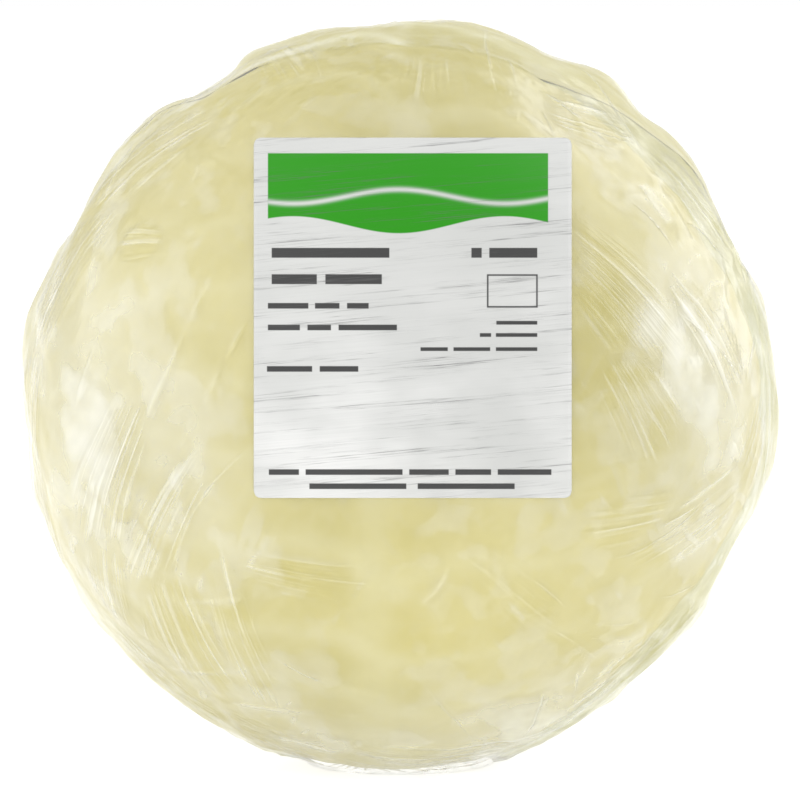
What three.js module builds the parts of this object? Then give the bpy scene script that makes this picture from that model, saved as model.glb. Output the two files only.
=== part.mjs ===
// A white cabbage: a tight round head with its wrapper leaves, drawn up in a clear film
// wrap with a paper label stuck on the front.
//
// Millimetres, +Z up. The cabbage stands on its cut stem end. The origin is the middle of
// the small flat spot that it rests on, and the label faces -Y. Directions are taken from
// the middle of the head: `turn` goes round from the front towards +X, and `climb` goes up
// from level, both in degrees.

import * as THREE from "three";

// Driving dimensions
const WRAP_RADIUS = 84.7; // mean radius outside the film
const FLAT_RADIUS = 21; // flat spot under the stem end
const FILM_THICKNESS = 0.35; // several times the real film, so that it is a sound solid
const FILM_OPENING_RADIUS = 5; // where the gathered film leaves a gap under the stem
const FILM_CLEARANCE = 0.85; // from the film in to the leaves
const LEAF_THICKNESS = 1.1;
const LEAF_CLEARANCE = 1.2; // between one leaf and the next
const STEM_RADIUS = 17;
const STEM_FLARE = 1.5; // how much wider the stem is where the leaves join it
const STEM_BEVEL = 1.2;
const STEM_BASE_GAP = 0.45; // from the film up to the cut face
const STEM_LENGTH = 5.6;
const HEAD_GAP = 0.5; // from the stem up to the head
const LABEL_WIDTH = 67.5;
const LABEL_LOW = -20.8; // lower edge, from the level of the head's middle
const LABEL_HIGH = 55.7;
const LABEL_SHIFT = 2.7; // its middle lies this far to the right
const LABEL_LEAN = 5; // its face looks up by this many degrees
const LABEL_VIEW = 1500; // from this far in front its edges look straight and square
const LABEL_CORNER = 2; // radius of its corners
const LABEL_THICKNESS = 0.4;
const LABEL_GAP = 0.35; // from the film out to the label

const CENTRE_HEIGHT = Math.sqrt(WRAP_RADIUS ** 2 - FLAT_RADIUS ** 2);
const FLAT_ANGLE = Math.asin(FLAT_RADIUS / WRAP_RADIUS);
const LEAF_PITCH = LEAF_THICKNESS + LEAF_CLEARANCE;

// Mesh fineness
const FILM_COLUMNS = 48;
const FILM_ROWS = 22;
const HEAD_COLUMNS = 32;
const HEAD_ROWS = 15;
const LEAF_ROWS = 21;
const SHOULDER_ROWS = 0.34; // share of a leaf's rows where it widens from the stem
const ROUNDING_ROW = 0.56; // share of a leaf's rows before its tip rounds off
const LEAF_COLUMN_WIDTH = 10.5; // degrees, at its widest
const LABEL_STEPS = 12;
const STEM_SIDES = 28;
const OUTLINE_STEPS = 72;

// Swellings and hollows of the wrapped head. Each fades out over its spread, in degrees,
// and stands out by its rise.
const LOBES = [
  // the outline's left half, from the crown down to the base
  { turn: -90, climb: 78, spread: 11, rise: 0.7 },
  { turn: -90, climb: 62, spread: 6, rise: -2.6 },
  { turn: -90, climb: 46, spread: 11, rise: 0.9 },
  { turn: -90, climb: 29, spread: 9, rise: -2.0 },
  { turn: -90, climb: 9, spread: 9, rise: 2.0 },
  { turn: -90, climb: -14, spread: 12, rise: -0.3 },
  { turn: -90, climb: -45, spread: 24, rise: -0.5 },
  { turn: -85, climb: -75, spread: 5, rise: -1.6 },
  // its right half
  { turn: 90, climb: 81, spread: 9, rise: 1.9 },
  { turn: 90, climb: 67, spread: 5, rise: -1.2 },
  { turn: 90, climb: 56, spread: 10, rise: 2.0 },
  { turn: 90, climb: 40, spread: 9, rise: 0.7 },
  { turn: 90, climb: 26, spread: 9, rise: -2.3 },
  { turn: 90, climb: -7, spread: 12, rise: 1.1 },
  { turn: 88, climb: -26, spread: 7, rise: -3.0 },
  { turn: 85, climb: -48, spread: 22, rise: -2.6 },
  { turn: 85, climb: -60, spread: 5, rise: -0.8 },
  // the front
  { turn: -48, climb: 34, spread: 20, rise: 1.2 },
  { turn: -58, climb: -12, spread: 22, rise: 1.0 },
  { turn: 52, climb: 8, spread: 20, rise: 1.3 },
  { turn: 30, climb: -42, spread: 20, rise: 0.8 },
  { turn: 48, climb: 48, spread: 12, rise: -1.4 },
  // the back
  { turn: 150, climb: 30, spread: 26, rise: 1.8 },
  { turn: -152, climb: 14, spread: 24, rise: 1.5 },
  { turn: 178, climb: -20, spread: 14, rise: -2.0 },
  { turn: -140, climb: -38, spread: 22, rise: 1.2 },
  { turn: 140, climb: -30, spread: 20, rise: 1.4 },
  { turn: -170, climb: 58, spread: 14, rise: -1.8 },
];

const BROAD_SPREAD = 15; // degrees, from which the leaves follow a swelling too

// Wrapper leaves, outermost first. Each grows from the stem up its heading, wraps the
// head by its half width either side, and ends at its tip angle from the stem.
const LEAVES = [
  { name: "front_leaf", heading: -5, halfWidth: 78, tip: 164, ripple: 0.4 },
  { name: "back_leaf", heading: 172, halfWidth: 76, tip: 196, ripple: 1.9 },
  { name: "left_leaf", heading: -98, halfWidth: 70, tip: 158, ripple: 3.1 },
  { name: "right_leaf", heading: 84, halfWidth: 72, tip: 150, ripple: 4.4 },
  { name: "rear_left_leaf", heading: -150, halfWidth: 62, tip: 138, ripple: 5.2 },
  { name: "rear_right_leaf", heading: 132, halfWidth: 60, tip: 132, ripple: 0.9 },
];
const LEAF_START = 16.5; // degrees from the stem axis, just outside the flat spot
const LEAF_BASE_HALF_WIDTH = 21;
const LEAF_SHOULDER = 0.26; // share of its length over which a leaf widens
const LEAF_ROUNDING = 0.55; // share of its length where its tip starts to round off
const LEAF_TIP_SHARE = 0.16; // width left at the very tip
const LEAF_RIPPLE = 0.035; // waviness of the margin
const COVER_MARGIN = 8; // degrees past a leaf's edge that the layers below stay pressed in
const COVER_FADE = 20; // degrees over which they come out again

const radians = THREE.MathUtils.degToRad;
const degrees = THREE.MathUtils.radToDeg;

// The unit vector that points out at a turn and a climb.
function direction(turn, climb) {
  const level = Math.cos(radians(climb));
  return new THREE.Vector3(
    Math.sin(radians(turn)) * level,
    -Math.cos(radians(turn)) * level,
    Math.sin(radians(climb)),
  );
}

for (const lobe of LOBES) {
  lobe.toward = direction(lobe.turn, lobe.climb);
}

// How far the outside of the film is from the middle of the head.
function wrapRadius(way) {
  let radius = WRAP_RADIUS;
  for (const lobe of LOBES) {
    const apart = (2 - 2 * way.dot(lobe.toward)) / radians(lobe.spread) ** 2;
    radius += lobe.rise * Math.exp(-apart);
  }
  return radius;
}

// The same for the leaves' outermost surface, if the film were on it. They follow the
// broad swellings only, and widen each hollow.
function packedRadius(way) {
  let radius = WRAP_RADIUS;
  for (const lobe of LOBES) {
    const isHollow = lobe.rise < 0;
    const spread = isHollow ? Math.max(lobe.spread, BROAD_SPREAD) : lobe.spread;
    if (spread >= BROAD_SPREAD) {
      const apart = (2 - 2 * way.dot(lobe.toward)) / radians(spread) ** 2;
      radius += lobe.rise * Math.exp(-apart);
    }
  }
  return radius;
}

// Keeps a radius above a level plane this far below the middle of the head. Inside the
// cone of the flat spot, the surface is that plane.
function flattened(way, radius, depth) {
  const inFlat = -way.z >= Math.cos(FLAT_ANGLE) - 1e-9;
  if (inFlat) {
    return depth / -way.z;
  }
  return way.z < 0 ? Math.min(radius, depth / -way.z) : radius;
}

// A leaf's half width, in degrees, at a share of its length, on one side (-1 or 1).
function leafHalfWidth(leaf, along, side) {
  const widening = THREE.MathUtils.smoothstep(along, 0, LEAF_SHOULDER);
  const full = LEAF_BASE_HALF_WIDTH + (leaf.halfWidth - LEAF_BASE_HALF_WIDTH) * widening;
  const past = Math.max(0, (along - LEAF_ROUNDING) / (1 - LEAF_ROUNDING));
  const rounding = LEAF_TIP_SHARE + (1 - LEAF_TIP_SHARE) * Math.sqrt(Math.max(0, 1 - past ** 2));
  const wave = Math.sin(leaf.ripple + side * 1.3 + along * 17) + Math.sin(leaf.ripple * 2 + along * 31);
  return full * rounding * (1 + LEAF_RIPPLE * widening * wave);
}

// The unit vector to the point of a leaf at a share of its length and of its half width.
function leafDirection(leaf, along, across) {
  const fromStem = radians(LEAF_START + (leaf.tip - LEAF_START) * along);
  const aside = radians(across * leafHalfWidth(leaf, along, Math.sign(across)));
  const rising = direction(leaf.heading, 0)
    .multiplyScalar(Math.sin(fromStem))
    .add(new THREE.Vector3(0, 0, -Math.cos(fromStem)));
  const level = direction(leaf.heading + 90, 0).multiplyScalar(Math.sin(aside));
  return rising.multiplyScalar(Math.cos(aside)).add(level);
}

// The share of a leaf's length at a share of its rows, which crowd where it widens from
// the stem and where its tip rounds off.
function leafRow(share) {
  if (share < SHOULDER_ROWS) {
    return (LEAF_SHOULDER * share) / SHOULDER_ROWS;
  }
  if (share < ROUNDING_ROW) {
    return THREE.MathUtils.mapLinear(share, SHOULDER_ROWS, ROUNDING_ROW, LEAF_SHOULDER, LEAF_ROUNDING);
  }
  const quarterTurn = (Math.PI / 2) * ((share - ROUNDING_ROW) / (1 - ROUNDING_ROW));
  return LEAF_ROUNDING + (1 - LEAF_ROUNDING) * Math.sin(quarterTurn);
}

// Unit vectors along a leaf's edge: up both margins, and across the base and the tip.
function leafOutline(leaf) {
  const shares = Array.from({ length: OUTLINE_STEPS + 1 }, (_, step) => step / OUTLINE_STEPS);
  return shares.flatMap((share) => [
    leafDirection(leaf, leafRow(share), -1),
    leafDirection(leaf, leafRow(share), 1),
    leafDirection(leaf, 0, 2 * share - 1),
    leafDirection(leaf, 1, 2 * share - 1),
  ]);
}

for (const leaf of LEAVES) {
  leaf.outline = leafOutline(leaf);
}

// Whether a direction points at a leaf.
function isOn(leaf, way) {
  const aside = degrees(Math.asin(THREE.MathUtils.clamp(way.dot(direction(leaf.heading + 90, 0)), -1, 1)));
  let fromStem = degrees(Math.atan2(way.dot(direction(leaf.heading, 0)), -way.z));
  if (fromStem < -90) {
    fromStem += 360;
  }
  const along = (fromStem - LEAF_START) / (leaf.tip - LEAF_START);
  return along >= 0 && along <= 1 && Math.abs(aside) <= leafHalfWidth(leaf, along, Math.sign(aside));
}

// How fully a leaf covers a direction: 1 on it and just past its edge, fading to 0.
function cover(leaf, way) {
  if (isOn(leaf, way)) {
    return 1;
  }
  const nearest = leaf.outline.reduce((most, point) => Math.max(most, way.dot(point)), -1);
  const outside = degrees(Math.acos(Math.min(1, nearest)));
  return 1 - THREE.MathUtils.smoothstep(outside, COVER_MARGIN, COVER_MARGIN + COVER_FADE);
}

// How deep below the film's inside a layer lies under the first `count` leaves.
function depthUnder(count, way) {
  const layers = LEAVES.slice(0, count).reduce((sum, leaf) => sum + cover(leaf, way), 0);
  return FILM_CLEARANCE + LEAF_PITCH * layers;
}

function solid(name, points, faces, material) {
  const geometry = new THREE.BufferGeometry();
  geometry.setAttribute("position", new THREE.Float32BufferAttribute(points.flatMap((p) => p.toArray()), 3));
  geometry.setIndex(faces.flat());
  geometry.computeVertexNormals();
  const mesh = new THREE.Mesh(geometry, material);
  mesh.name = name;
  return mesh;
}

// A closed body through rings of points, from one end point to the other. The rings run
// anticlockwise seen from the first end.
function ringedSolid(name, firstEnd, rings, lastEnd, material) {
  const count = rings[0].length;
  const points = [firstEnd, ...rings.flat(), lastEnd];
  const at = (row, column) => 1 + row * count + (column % count);
  const faces = [];
  for (let column = 0; column < count; column += 1) {
    faces.push([0, at(0, column), at(0, column + 1)]);
    for (let row = 0; row + 1 < rings.length; row += 1) {
      faces.push([at(row, column), at(row + 1, column), at(row + 1, column + 1)]);
      faces.push([at(row, column), at(row + 1, column + 1), at(row, column + 1)]);
    }
    faces.push([at(rings.length - 1, column), points.length - 1, at(rings.length - 1, column + 1)]);
  }
  return solid(name, points, faces, material);
}

// A closed sheet between two grids of points, `outer` and `inner`. The rows run up and the
// columns run to the right, seen from outside.
function sheetSolid(name, outer, inner, material) {
  const rows = outer.length;
  const columns = outer[0].length;
  const points = [...outer.flat(), ...inner.flat()];
  const top = (row, column) => row * columns + column;
  const under = (row, column) => rows * columns + top(row, column);
  const faces = [];
  for (let row = 0; row + 1 < rows; row += 1) {
    for (let column = 0; column + 1 < columns; column += 1) {
      faces.push([top(row, column), top(row, column + 1), top(row + 1, column + 1)]);
      faces.push([top(row, column), top(row + 1, column + 1), top(row + 1, column)]);
      faces.push([under(row, column), under(row + 1, column + 1), under(row, column + 1)]);
      faces.push([under(row, column), under(row + 1, column), under(row + 1, column + 1)]);
    }
  }
  const edge = [];
  for (let column = 0; column + 1 < columns; column += 1) {
    edge.push([0, column, 0, column + 1]);
    edge.push([rows - 1, column + 1, rows - 1, column]);
  }
  for (let row = 0; row + 1 < rows; row += 1) {
    edge.push([row + 1, 0, row, 0]);
    edge.push([row, columns - 1, row + 1, columns - 1]);
  }
  for (const [row, column, nextRow, nextColumn] of edge) {
    faces.push([top(row, column), under(row, column), under(nextRow, nextColumn)]);
    faces.push([top(row, column), under(nextRow, nextColumn), top(nextRow, nextColumn)]);
  }
  return solid(name, points, faces, material);
}

// A ring of points at one climb, each at the distance that `radiusAt` gives.
function ring(climb, columns, radiusAt) {
  return Array.from({ length: columns }, (_, column) => {
    const way = direction((360 * column) / columns, climb);
    return way.clone().multiplyScalar(radiusAt(way));
  });
}

// The head: the tight ball of inner leaves.
function makeHead() {
  const floor = CENTRE_HEIGHT - FILM_THICKNESS - STEM_BASE_GAP - STEM_LENGTH - HEAD_GAP;
  const radiusAt = (way) => {
    const radius = packedRadius(way) - FILM_THICKNESS - depthUnder(LEAVES.length, way);
    return way.z < 0 ? Math.min(radius, floor / -way.z) : radius;
  };
  const rings = Array.from({ length: HEAD_ROWS }, (_, row) =>
    ring(90 - (180 * (row + 1)) / (HEAD_ROWS + 1), HEAD_COLUMNS, radiusAt),
  );
  const up = direction(0, 90);
  const down = direction(0, -90);
  const material = new THREE.MeshStandardMaterial({ color: 0xe3dfae, roughness: 0.5 });
  return ringedSolid(
    "head",
    up.clone().multiplyScalar(radiusAt(up)),
    rings,
    down.clone().multiplyScalar(radiusAt(down)),
    material,
  );
}

// One wrapper leaf, with the leaves before it in LEAVES lying over it.
function makeLeaf(leaf, order) {
  const columns = Math.round((2 * leaf.halfWidth) / LEAF_COLUMN_WIDTH);
  const gridAt = (sink) =>
    Array.from({ length: LEAF_ROWS + 1 }, (_row, row) =>
      Array.from({ length: columns + 1 }, (_column, column) => {
        const way = leafDirection(leaf, leafRow(row / LEAF_ROWS), (2 * column) / columns - 1);
        const depth = FILM_THICKNESS + depthUnder(order, way) + sink;
        return way.clone().multiplyScalar(packedRadius(way) - depth);
      }),
    );
  const material = new THREE.MeshStandardMaterial({ color: 0xdcd79d, roughness: 0.45 });
  return sheetSolid(leaf.name, gridAt(0), gridAt(LEAF_THICKNESS), material);
}

// The cut end of the stem, just above the film.
function makeStem() {
  const top = STEM_RADIUS + STEM_FLARE;
  const profile = [
    new THREE.Vector2(0, 0),
    new THREE.Vector2(STEM_RADIUS - STEM_BEVEL, 0),
    new THREE.Vector2(STEM_RADIUS, STEM_BEVEL),
    new THREE.Vector2(top, STEM_LENGTH),
    new THREE.Vector2(0, STEM_LENGTH),
  ];
  const geometry = new THREE.LatheGeometry(profile, STEM_SIDES).rotateX(Math.PI / 2);
  const mesh = new THREE.Mesh(geometry, new THREE.MeshStandardMaterial({ color: 0xd9d3a6, roughness: 0.7 }));
  mesh.name = "stem_stub";
  mesh.position.z = FILM_THICKNESS + STEM_BASE_GAP - CENTRE_HEIGHT;
  return mesh;
}

// The film, drawn tight round everything and gathered under the stem.
function makeFilm() {
  const outside = (way) => flattened(way, wrapRadius(way), CENTRE_HEIGHT);
  const inside = (way) => flattened(way, wrapRadius(way) - FILM_THICKNESS, CENTRE_HEIGHT - FILM_THICKNESS);
  const rimClimb = degrees(FLAT_ANGLE) - 90;
  const openingClimb = degrees(Math.atan(FILM_OPENING_RADIUS / CENTRE_HEIGHT)) - 90;
  const climbs = [];
  for (let row = 1; row <= FILM_ROWS; row += 1) {
    climbs.push(THREE.MathUtils.lerp(90, rimClimb, row / FILM_ROWS));
  }
  climbs.push(openingClimb);
  const outerRings = climbs.map((climb) => ring(climb, FILM_COLUMNS, outside));
  const innerRings = climbs.map((climb) => ring(climb, FILM_COLUMNS, inside)).reverse();
  const up = direction(0, 90);
  const material = new THREE.MeshStandardMaterial({
    color: 0xf4f5ee,
    roughness: 0.12,
    transparent: true,
    opacity: 0.3,
  });
  return ringedSolid(
    "film_wrap",
    up.clone().multiplyScalar(outside(up)),
    [...outerRings, ...innerRings],
    up.clone().multiplyScalar(inside(up)),
    material,
  );
}

// Half the label's width at a height above its middle, less its round corners.
function labelHalfWidth(height) {
  const intoCorner = Math.max(0, Math.abs(height) - ((LABEL_HIGH - LABEL_LOW) / 2 - LABEL_CORNER));
  return LABEL_WIDTH / 2 - LABEL_CORNER + Math.sqrt(Math.max(0, LABEL_CORNER ** 2 - intoCorner ** 2));
}

// Heights of the label's rows above its middle, crowded in its round corners.
function labelRows() {
  const half = (LABEL_HIGH - LABEL_LOW) / 2;
  const straight = half - LABEL_CORNER;
  const rows = [-half, LABEL_CORNER * 0.3 - half];
  for (let step = 0; step <= LABEL_STEPS; step += 1) {
    rows.push(straight * ((2 * step) / LABEL_STEPS - 1));
  }
  rows.push(half - LABEL_CORNER * 0.3, half);
  return rows;
}

// The point of the label at a place across and up its face, lifted off the film.
function labelPoint(across, height, lift) {
  const lean = radians(LABEL_LEAN);
  const up = new THREE.Vector3(0, Math.sin(lean), Math.cos(lean));
  const out = new THREE.Vector3(0, -Math.cos(lean), Math.sin(lean));
  const place = new THREE.Vector3(LABEL_SHIFT + across * labelHalfWidth(height), 0, 0);
  place.addScaledVector(up, (LABEL_HIGH + LABEL_LOW) / 2 + height);
  let forward = WRAP_RADIUS;
  let point = place;
  for (let pass = 0; pass < 8; pass += 1) {
    const flat = place.clone().multiplyScalar((LABEL_VIEW - forward) / (LABEL_VIEW - WRAP_RADIUS));
    point = flat.clone().addScaledVector(out, forward);
    const reach = wrapRadius(point.normalize()) + lift;
    forward = Math.sqrt(reach ** 2 - flat.lengthSq());
    point = flat.addScaledVector(out, forward);
  }
  return point;
}

// The label, which follows the film below it.
function makeLabel() {
  const rows = labelRows();
  const shares = Array.from({ length: LABEL_STEPS + 1 }, (_, step) => (2 * step) / LABEL_STEPS - 1);
  const gridAt = (lift) => rows.map((height) => shares.map((across) => labelPoint(across, height, lift)));
  const material = new THREE.MeshStandardMaterial({ color: 0xe1e1dd, roughness: 0.55 });
  return sheetSolid("label", gridAt(LABEL_GAP + LABEL_THICKNESS), gridAt(LABEL_GAP), material);
}

const cabbage = new THREE.Group();
cabbage.position.z = CENTRE_HEIGHT;
cabbage.add(makeHead(), makeStem(), ...LEAVES.map(makeLeaf), makeFilm(), makeLabel());

const whole = new THREE.Group();
whole.add(cabbage);

export default whole;
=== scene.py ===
"""A white cabbage in a clear film wrap with a plain paper label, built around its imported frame."""

import math
from collections import namedtuple

import bpy
import numpy as np
from bpy.props import FloatProperty, FloatVectorProperty, IntProperty, PointerProperty
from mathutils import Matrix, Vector


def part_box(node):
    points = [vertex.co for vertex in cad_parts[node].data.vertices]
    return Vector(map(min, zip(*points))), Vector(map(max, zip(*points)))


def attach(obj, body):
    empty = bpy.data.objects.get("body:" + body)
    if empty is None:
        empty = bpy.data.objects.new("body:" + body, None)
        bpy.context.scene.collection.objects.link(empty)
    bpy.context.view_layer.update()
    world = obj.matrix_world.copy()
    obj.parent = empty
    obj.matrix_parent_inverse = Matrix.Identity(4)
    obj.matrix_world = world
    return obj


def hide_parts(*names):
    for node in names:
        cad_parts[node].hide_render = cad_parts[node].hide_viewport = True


bl_info = {
    "name": "Wrapped White Cabbage",
    "version": (1, 0, 0),
    "blender": (4, 5, 0),
    "location": "3D View > Sidebar > Cabbage",
    "description": "Builds a white cabbage with wrapper leaves, cling film and a paper label",
    "category": "Add Mesh",
}

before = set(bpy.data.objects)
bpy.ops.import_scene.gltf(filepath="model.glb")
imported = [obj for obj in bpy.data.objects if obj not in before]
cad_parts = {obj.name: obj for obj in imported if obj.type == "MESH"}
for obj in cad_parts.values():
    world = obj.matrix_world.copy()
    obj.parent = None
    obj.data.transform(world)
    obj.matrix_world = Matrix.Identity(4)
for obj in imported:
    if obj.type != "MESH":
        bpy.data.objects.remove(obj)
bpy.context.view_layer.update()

# Sizes in metres and angles in degrees, unless a name says otherwise
MM = 0.001
WRAP_RADIUS = 84.7 * MM
FLAT_RADIUS = 21 * MM
CENTRE_HEIGHT = math.sqrt(WRAP_RADIUS**2 - FLAT_RADIUS**2)
FLAT_ANGLE = math.asin(FLAT_RADIUS / WRAP_RADIUS)
OPENING_RADIUS = 5 * MM
LEAF_START = 16.5
LEAF_BASE_HALF_WIDTH = 21
LEAF_SHOULDER = 0.26
LEAF_ROUNDING = 0.55
LEAF_TIP_SHARE = 0.16
LEAF_RIPPLE = 0.035
MM_PER_DEGREE = 1.48
EDGE_STEPS = 160
LABEL_WIDTH = 67.5 * MM
LABEL_LOW = -20.8 * MM
LABEL_HIGH = 55.7 * MM
LABEL_SHIFT = 2.7 * MM
LABEL_LEAN = 5
LABEL_VIEW = 1.5
LABEL_CORNER = 1.5 * MM

# Swellings and hollows: turn, climb, spread and rise in millimetres
LOBES = (
    (-90, 78, 11, 0.7),
    (-90, 62, 6, -2.6),
    (-90, 46, 11, 0.9),
    (-90, 29, 9, -2.0),
    (-90, 9, 9, 2.0),
    (-90, -14, 12, -0.3),
    (-90, -45, 24, -0.5),
    (-85, -75, 5, -1.6),
    (90, 81, 9, 1.9),
    (90, 67, 5, -1.2),
    (90, 56, 10, 2.0),
    (90, 40, 9, 0.7),
    (90, 26, 9, -2.3),
    (90, -7, 12, 1.1),
    (88, -26, 7, -3.0),
    (85, -48, 22, -2.6),
    (85, -60, 5, -0.8),
    (-48, 34, 20, 1.2),
    (-58, -12, 22, 1.0),
    (52, 8, 20, 1.3),
    (30, -42, 20, 0.8),
    (48, 48, 12, -1.4),
    (150, 30, 26, 1.8),
    (-152, 14, 24, 1.5),
    (178, -20, 14, -2.0),
    (-140, -38, 22, 1.2),
    (140, -30, 20, 1.4),
    (-170, 58, 14, -1.8),
)

# Sharper dents and swellings of the film at the two sides, in the same form
FINE_LOBES = (
    (90, 16, 4, 1.1),
    (90, 21, 4, 0.6),
    (90, 50, 4, -1.4),
    (80, 50, 5, -1.2),
    (100, 50, 5, -1.2),
    (90, 57, 5, 0.4),
    (90, 70, 6, 0.7),
    (90, -22, 4, -1.4),
    (80, -22, 5, -1.4),
    (100, -22, 5, -1.4),
    (90, -35, 4, 1.8),
    (90, -41, 4, 0.6),
    (90, -55, 3.5, 1.5),
    (-90, 85, 4, -0.9),
    (-90, 66, 4, 2.2),
    (-90, 57.5, 4, -1.9),
    (-78, 57, 5, -1.6),
    (-102, 57, 5, -1.6),
    (-90, 47, 4, -0.4),
    (-90, 24, 4, 0.9),
    (-90, 8, 5, -0.5),
    (-90, -3, 4, -1.0),
    (-80, -3, 5, -0.8),
    (-100, -3, 5, -0.8),
    (-90, -15, 4, 1.5),
    (-90, -32, 6, 0.9),
    (-90, -39, 5, 1.0),
)

# One wrapper leaf: which way it heads, half its width, how far up its tip is, where its margin's
# ripples start, how green it is and how strong its veins are
Leaf = namedtuple("Leaf", "name heading half_width tip ripple green veins")

# Outermost first
LEAVES = (
    Leaf("front_leaf", -5, 78, 164, 0.4, 0.08, 0.45),
    Leaf("back_leaf", 172, 76, 196, 1.9, 0.25, 1.3),
    Leaf("left_leaf", -98, 70, 158, 3.1, 0.2, 1.2),
    Leaf("right_leaf", 84, 72, 157, 4.4, 0.75, 1.1),
    Leaf("rear_left_leaf", -150, 62, 138, 5.2, 0.2, 1.0),
    Leaf("rear_right_leaf", 132, 60, 132, 0.9, 0.2, 1.0),
)

# Long creases of the film: from and to (turn, climb), bend across, width and height in mm
CREASES = (
    ((-12, -20), (-2, -30), 1.5, 1.6, 0.30),
    ((8, -19), (-2, -29), 2.5, 2.0, 0.30),
    ((-24, -36), (-14, -42), -1.0, 0.9, 0.35),
    ((-14, -42), (-12, -62), -1.5, 1.0, 0.40),
    ((0, -36), (22, -58), 1.0, 0.8, 0.40),
    ((13, -17), (29, -28), 1.0, 0.8, 0.40),
    ((29, -28), (47, -31), -2.0, 0.8, 0.35),
    ((9, -18), (27, -35), 2.5, 1.5, 0.30),
    ((14, -25), (42, -39), 2.0, 1.0, 0.35),
    ((-31, 24), (-46, -8), 2.5, 2.2, 0.30),
    ((-23, 18), (-39, -10), 1.5, 2.4, 0.30),
    ((-28, 0), (-45, -22), -2.0, 0.8, 0.40),
    ((-20, -1), (-36, -18), -2.5, 1.0, 0.40),
    ((-60, -25), (-12, -23), -1.5, 2.6, 0.30),
    ((-73, -38), (-19, -36), -2.0, 2.2, 0.35),
    ((-51, -47), (5, -48), 2.5, 2.6, 0.30),
    ((-32, -11), (-52, -48), -2.5, 0.6, 0.35),
    ((-23, -21), (-28, -42), -1.0, 0.6, 0.35),
    ((-49, -29), (-58, -44), -1.0, 0.6, 0.35),
    ((32, 8), (45, -6), 1.5, 0.8, 0.35),
    ((34, -20), (56, -10), -2.0, 0.9, 0.40),
    ((46, -27), (62, -25), -1.5, 0.6, 0.30),
    ((46, 17), (64, 2), 1.0, 0.7, 0.35),
    ((46, 35), (54, 14), 1.5, 0.8, 0.35),
    ((80, 62), (60, 42), -1.0, 1.0, 0.50),
    ((-93, 57), (-66, 32), 1.5, 1.2, 0.40),
    ((-62, 73), (-22, 58), 1.0, 0.6, 0.30),
    ((84, 77), (26, 54), -2.0, 0.7, 0.35),
    ((39, 54), (33, 38), 0.8, 0.6, 0.35),
    ((47, 68), (28, 50), 1.0, 0.6, 0.35),
    ((70, 12), (59, -4), -1.5, 1.2, 0.35),
    ((42, -38), (50, -55), 1.0, 1.2, 0.50),
    ((33, -52), (40, -64), 0.8, 0.8, 0.45),
    ((36, -39), (45, -50), -0.6, 1.4, 0.95),
    ((31, -44), (35, -57), 0.6, 1.2, 0.95),
    ((52, -47), (38, -53), 0.8, 1.0, 0.80),
    ((60, -36), (46, -54), -1.2, 0.9, 0.80),
    ((72, 38), (58, 30), -2.0, 1.3, 0.90),
    ((58, 30), (66, 24), 2.0, 1.2, 0.80),
    ((76, 30), (70, 14), 1.2, 1.2, 0.80),
    ((44, 58), (52, 44), 1.0, 1.2, 0.80),
    ((120, 50), (150, -10), 3.0, 1.2, 0.40),
    ((160, 70), (178, 0), 2.5, 1.0, 0.40),
    ((-120, 40), (-150, -30), 3.0, 1.2, 0.40),
    ((-160, 60), (-140, -10), -2.0, 0.9, 0.35),
    ((170, -15), (130, -50), 2.0, 1.1, 0.45),
    ((-175, -10), (-120, -45), -2.5, 1.2, 0.45),
    ((105, 20), (112, -40), 2.0, 0.9, 0.40),
)

# Plain bars on the label: height above its lower edge, thickness, and left and right ends, in mm
PRINT_ROWS = (
    (51.0, 2.1, ((3.8, 28.8), (46.2, 48.4), (50.0, 60.2))),
    (45.4, 2.1, ((3.8, 13.4), (15.2, 27.2))),
    (40.2, 1.2, ((3.0, 11.6), (13.0, 18.2), (19.8, 24.4))),
    (36.8, 0.8, ((51.5, 60.2),)),
    (35.6, 1.2, ((3.0, 9.8), (11.4, 16.4), (18.0, 30.4))),
    (34.2, 0.8, ((48.0, 50.4), (51.4, 60.2))),
    (31.2, 0.8, ((35.4, 41.2), (42.4, 50.2), (51.4, 60.2))),
    (26.8, 1.2, ((2.8, 12.4), (14.0, 22.2))),
    (4.9, 1.2, ((3.2, 9.6), (11.0, 31.6), (33.0, 41.4), (42.8, 50.4), (51.8, 63.2))),
    (1.9, 1.2, ((11.8, 32.4), (34.8, 55.4))),
)

# Where slack film is crumpled: turn, climb, spread and strength
CRUMPLES = (
    (58, 49, 6, 0.8),
    (53, 35, 7, 1.2),
    (59, 23, 8, 1.2),
    (74, 22, 7, 0.8),
    (-78, 52, 9, 0.7),
    (43, -38, 7, 1.4),
    (42, -54, 9, 1.2),
    (60, -42, 7, 0.4),
    (20, -68, 9, 0.6),
    (-38, -62, 8, 0.5),
    (-82, -8, 9, 0.5),
    (130, 45, 14, 0.9),
    (-150, 50, 14, 0.9),
    (175, -45, 14, 0.9),
    (0, -79, 7, 0.9),
    (90, -72, 10, 0.9),
    (-90, -74, 10, 0.9),
    (180, -74, 10, 0.9),
)

# Where the film lies in more layers or looser, and where it is cleared as painted shade: turn, climb, spread
# and milkiness
FILM_HAZE_AND_SHADE = (
    (-56, 6, 18, 0.25),
    (-36, -9, 13, 0.17),
    (-56, -20, 16, 0.16),
    (-60, 36, 13, 0.06),
    (46, 15, 8, 0.24),
    (57, 5, 13, 0.22),
    (52, -12, 14, 0.14),
    (52, 46, 10, 0.08),
    (34, -58, 13, 0.20),
    (-30, -56, 17, 0.10),
    (10, -70, 14, 0.14),
    (14, -50, 12, 0.03),
    # Painted shade: these two spots clear the haze so the shaded crescent at the lower right shows darker
    (66, -35, 9, -0.21),
    (74, -24, 7, -0.12),
    (-76, 14, 9, 0.16),
    (0, 70, 14, -0.06),
    (0, -26, 9, -0.08),
    (-31, -38, 8, 0.08),
    (140, 10, 34, 0.16),
    (-140, 10, 34, 0.16),
    (180, -30, 30, 0.14),
)

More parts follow.
